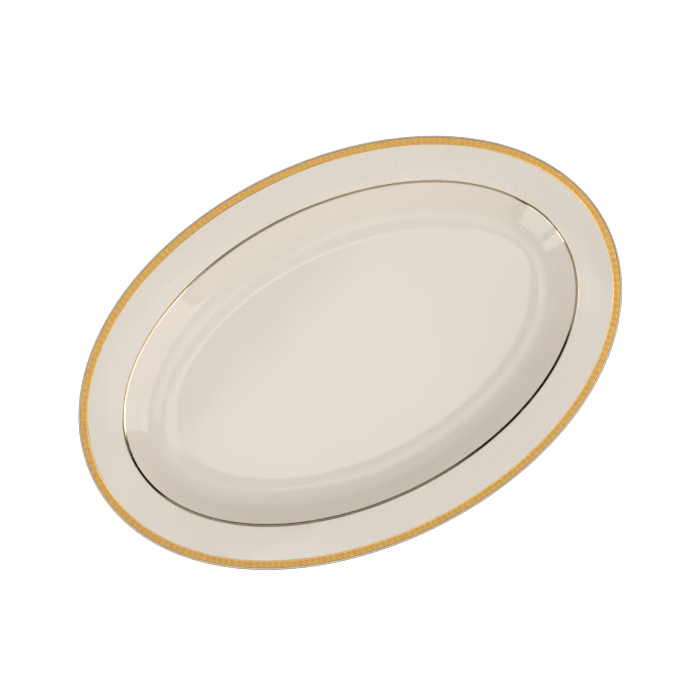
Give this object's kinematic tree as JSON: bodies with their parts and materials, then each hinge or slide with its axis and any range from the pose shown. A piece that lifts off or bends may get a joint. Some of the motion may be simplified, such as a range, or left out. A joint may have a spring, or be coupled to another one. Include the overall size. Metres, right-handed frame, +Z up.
{
  "type": "serving platter",
  "caption": "Oval serving platter in ivory glazed china, with a wide sloping rim, an etched gold edge band, a gold verge line, raised enamel rows and a foot ring.",
  "frame": {"origin": "centre of the foot ring's footprint, on the table that the platter stands on", "axes": "+X along the platter's length, +Y across its width, +Z up, out of the well"},
  "size_m": [0.406, 0.276, 0.0345],
  "materials": {
    "ivory_glaze": "clear gloss glaze over ivory china",
    "white_enamel": "raised, satin, fired enamel",
    "burnished_gold": "fired and burnished gold",
    "etched_gold": "gold over an etched pattern, matte in its hollows"
  },
  "bodies": {
    "root": {"platter_body": "ivory_glaze", "lip_gold_line": "burnished_gold", "etched_gold_band": "etched_gold", "band_inner_gold_line": "burnished_gold", "verge_gold_line": "burnished_gold", "enamel_row_outer": "white_enamel", "enamel_row_middle": "white_enamel", "enamel_row_inner": "white_enamel"}
  },
  "joints": []
}
